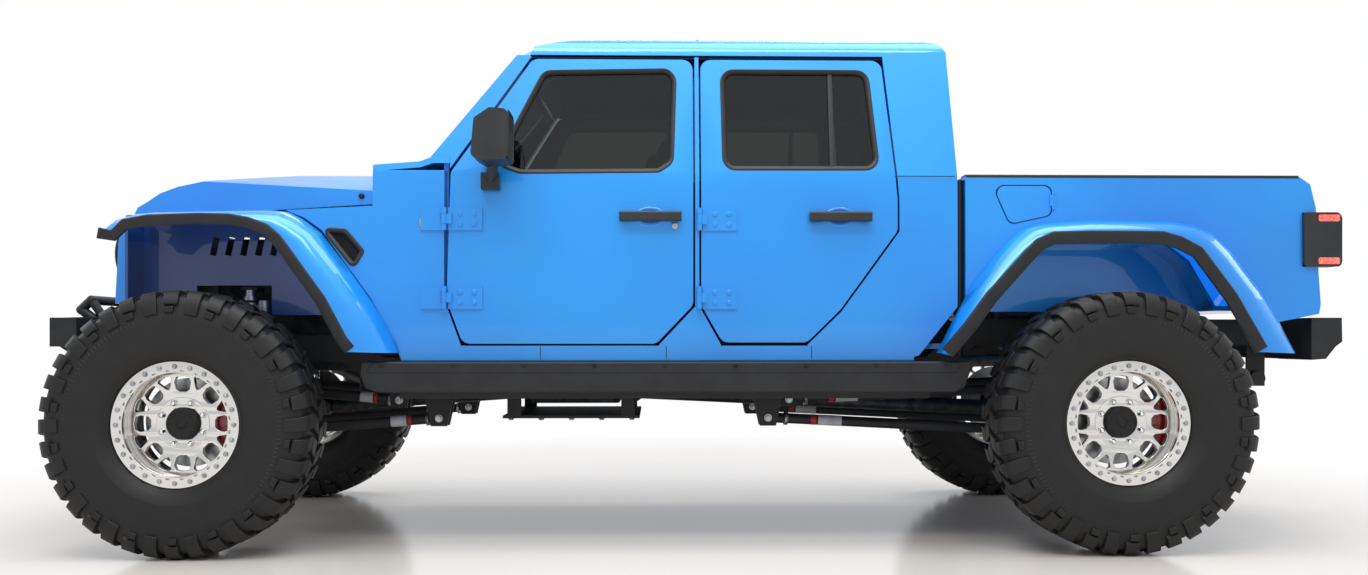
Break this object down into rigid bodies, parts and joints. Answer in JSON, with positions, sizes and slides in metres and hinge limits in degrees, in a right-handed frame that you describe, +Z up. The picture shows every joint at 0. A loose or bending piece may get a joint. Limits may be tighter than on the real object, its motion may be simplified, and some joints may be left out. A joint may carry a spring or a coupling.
{
  "type": "lifted off-road crew-cab pickup truck",
  "caption": "Lifted crew-cab off-road pickup with mud tyres, flared arches, opening doors, hood, tailgate and fuel flap, steered front axle and free-rolling wheels.",
  "frame": {"origin": "centre of the bounding box at ground level, on the vehicle's middle plane", "axes": "+X from nose to tail, +Y to the vehicle's right side, +Z up"},
  "size_m": [5.34, 2.13, 2.06],
  "materials": {
    "body_paint": "gloss",
    "inner_paint": "satin",
    "black_coat": "textured powder coat",
    "tinted_glass": "tinted",
    "lamp_lens": "clear",
    "tail_lens": "gloss",
    "coil_paint": "gloss",
    "damper_alloy": "satin",
    "cast_metal": "cast",
    "tank_plastic": "moulded",
    "exhaust_steel": "dull",
    "seat_leather": "grained",
    "dash_plastic": "moulded",
    "mirror_plastic": "moulded",
    "tyre_rubber": "moulded",
    "wheel_alloy": "polished"
  },
  "bodies": {
    "chassis": {"frame": "black_coat", "cab_tub": "body_paint", "hardtop": "body_paint", "windshield_frame": "body_paint", "fixed_glass": "tinted_glass", "grille": "body_paint", "headlights": "lamp_lens", "front_fenders": "body_paint", "inner_fenders": "inner_paint", "bed_box": "body_paint", "rear_fenders": "body_paint", "taillights": "tail_lens", "front_bumper": "black_coat", "rear_bumper": "black_coat", "rock_sliders": "black_coat", "front_axle": "black_coat", "rear_axle": "black_coat", "control_arms": "black_coat", "coil_springs": "coil_paint", "shock_absorbers": "damper_alloy", "powertrain": "cast_metal", "driveshafts": "black_coat", "fuel_tank": "tank_plastic", "exhaust": "exhaust_steel", "seats": "seat_leather", "dashboard": "dash_plastic"},
    "steering_wheel": {"steering_wheel": "dash_plastic"},
    "hood": {"hood": "body_paint"},
    "tailgate": {"tailgate": "body_paint"},
    "fuel_door": {"fuel_door": "body_paint"},
    "door_front_left": {"door_front_left": "body_paint", "glass_front_left": "tinted_glass", "mirror_left": "mirror_plastic"},
    "door_rear_left": {"door_rear_left": "body_paint", "glass_rear_left": "tinted_glass"},
    "knuckle_left": {"knuckle_left": "cast_metal"},
    "door_front_right": {"door_front_right": "body_paint", "glass_front_right": "tinted_glass", "mirror_right": "mirror_plastic"},
    "door_rear_right": {"door_rear_right": "body_paint", "glass_rear_right": "tinted_glass"},
    "knuckle_right": {"knuckle_right": "cast_metal"},
    "tie_rod": {"tie_rod": "black_coat"},
    "drag_link": {"drag_link": "black_coat"},
    "pitman_arm": {"pitman_arm": "cast_metal"},
    "wheel_front_left": {"tyre_front_left": "tyre_rubber", "wheel_front_left": "wheel_alloy"},
    "wheel_front_right": {"tyre_front_right": "tyre_rubber", "wheel_front_right": "wheel_alloy"},
    "wheel_rear_left": {"tyre_rear_left": "tyre_rubber", "wheel_rear_left": "wheel_alloy"},
    "wheel_rear_right": {"tyre_rear_right": "tyre_rubber", "wheel_rear_right": "wheel_alloy"}
  },
  "joints": [
    {"name": "hood_hinge", "type": "hinge", "parent": "chassis", "child": "hood", "pos_m": [-1.267, 0, 1.53], "axis": [0, 1, 0], "range_deg": [0, 55]},
    {"name": "tailgate_hinge", "type": "hinge", "parent": "chassis", "child": "tailgate", "pos_m": [2.506, 0, 0.99], "axis": [0, 1, 0], "range_deg": [0, 90]},
    {"name": "fuel_door_hinge", "type": "hinge", "parent": "chassis", "child": "fuel_door", "pos_m": [1.448, -0.802, 1.38], "axis": [0, 0, 1], "range_deg": [0, 100]},
    {"name": "door_front_left_hinge", "type": "hinge", "parent": "chassis", "child": "door_front_left", "pos_m": [-0.978, -0.816, 1.15], "axis": [0, 0, -1], "range_deg": [0, 68]},
    {"name": "door_rear_left_hinge", "type": "hinge", "parent": "chassis", "child": "door_rear_left", "pos_m": [0.031, -0.816, 1.15], "axis": [0, 0, -1], "range_deg": [0, 65]},
    {"name": "door_front_right_hinge", "type": "hinge", "parent": "chassis", "child": "door_front_right", "pos_m": [-0.978, 0.816, 1.15], "axis": [0, 0, 1], "range_deg": [0, 68]},
    {"name": "door_rear_right_hinge", "type": "hinge", "parent": "chassis", "child": "door_rear_right", "pos_m": [0.031, 0.816, 1.15], "axis": [0, 0, 1], "range_deg": [0, 65]},
    {"name": "steer_left", "type": "hinge", "parent": "chassis", "child": "knuckle_left", "pos_m": [-1.95, -0.76, 0.508], "axis": [0, 0, 1], "range_deg": [-28, 28]},
    {"name": "steer_right", "type": "hinge", "parent": "chassis", "child": "knuckle_right", "pos_m": [-1.95, 0.76, 0.508], "axis": [0, 0, 1], "range_deg": [-28, 28]},
    {"name": "tie_rod_pivot", "type": "hinge", "parent": "knuckle_left", "child": "tie_rod", "pos_m": [-2.13, -0.76, 0.455], "axis": [0, 0, 1], "range_deg": [-28, 28]},
    {"name": "pitman_pivot", "type": "hinge", "parent": "chassis", "child": "pitman_arm", "pos_m": [-2.01, -0.34, 0.557], "axis": [0, 0, 1], "range_deg": [-28, 28]},
    {"name": "drag_link_pivot", "type": "hinge", "parent": "pitman_arm", "child": "drag_link", "pos_m": [-2.19, -0.34, 0.525], "axis": [0, 0, 1], "range_deg": [-28, 28]},
    {"name": "steering_wheel_turn", "type": "hinge", "parent": "chassis", "child": "steering_wheel", "pos_m": [-0.83, -0.37, 1.4], "axis": [0.9135, 0, 0.4067], "range_deg": [-392, 392]},
    {"name": "wheel_front_left_spin", "type": "hinge", "parent": "knuckle_left", "child": "wheel_front_left", "pos_m": [-1.95, -0.9, 0.508], "axis": [0, 1, 0], "continuous": true},
    {"name": "wheel_rear_left_spin", "type": "hinge", "parent": "chassis", "child": "wheel_rear_left", "pos_m": [1.67, -0.9, 0.508], "axis": [0, 1, 0], "continuous": true},
    {"name": "wheel_front_right_spin", "type": "hinge", "parent": "knuckle_right", "child": "wheel_front_right", "pos_m": [-1.95, 0.9, 0.508], "axis": [0, 1, 0], "continuous": true},
    {"name": "wheel_rear_right_spin", "type": "hinge", "parent": "chassis", "child": "wheel_rear_right", "pos_m": [1.67, 0.9, 0.508], "axis": [0, 1, 0], "continuous": true}
  ],
  "couplings": [
    {"joint": "steer_right", "follows": "steer_left", "ratio": 1},
    {"joint": "tie_rod_pivot", "follows": "steer_left", "ratio": -1},
    {"joint": "pitman_pivot", "follows": "steer_left", "ratio": 1},
    {"joint": "drag_link_pivot", "follows": "steer_left", "ratio": -1},
    {"joint": "steering_wheel_turn", "follows": "steer_left", "ratio": 14}
  ]
}
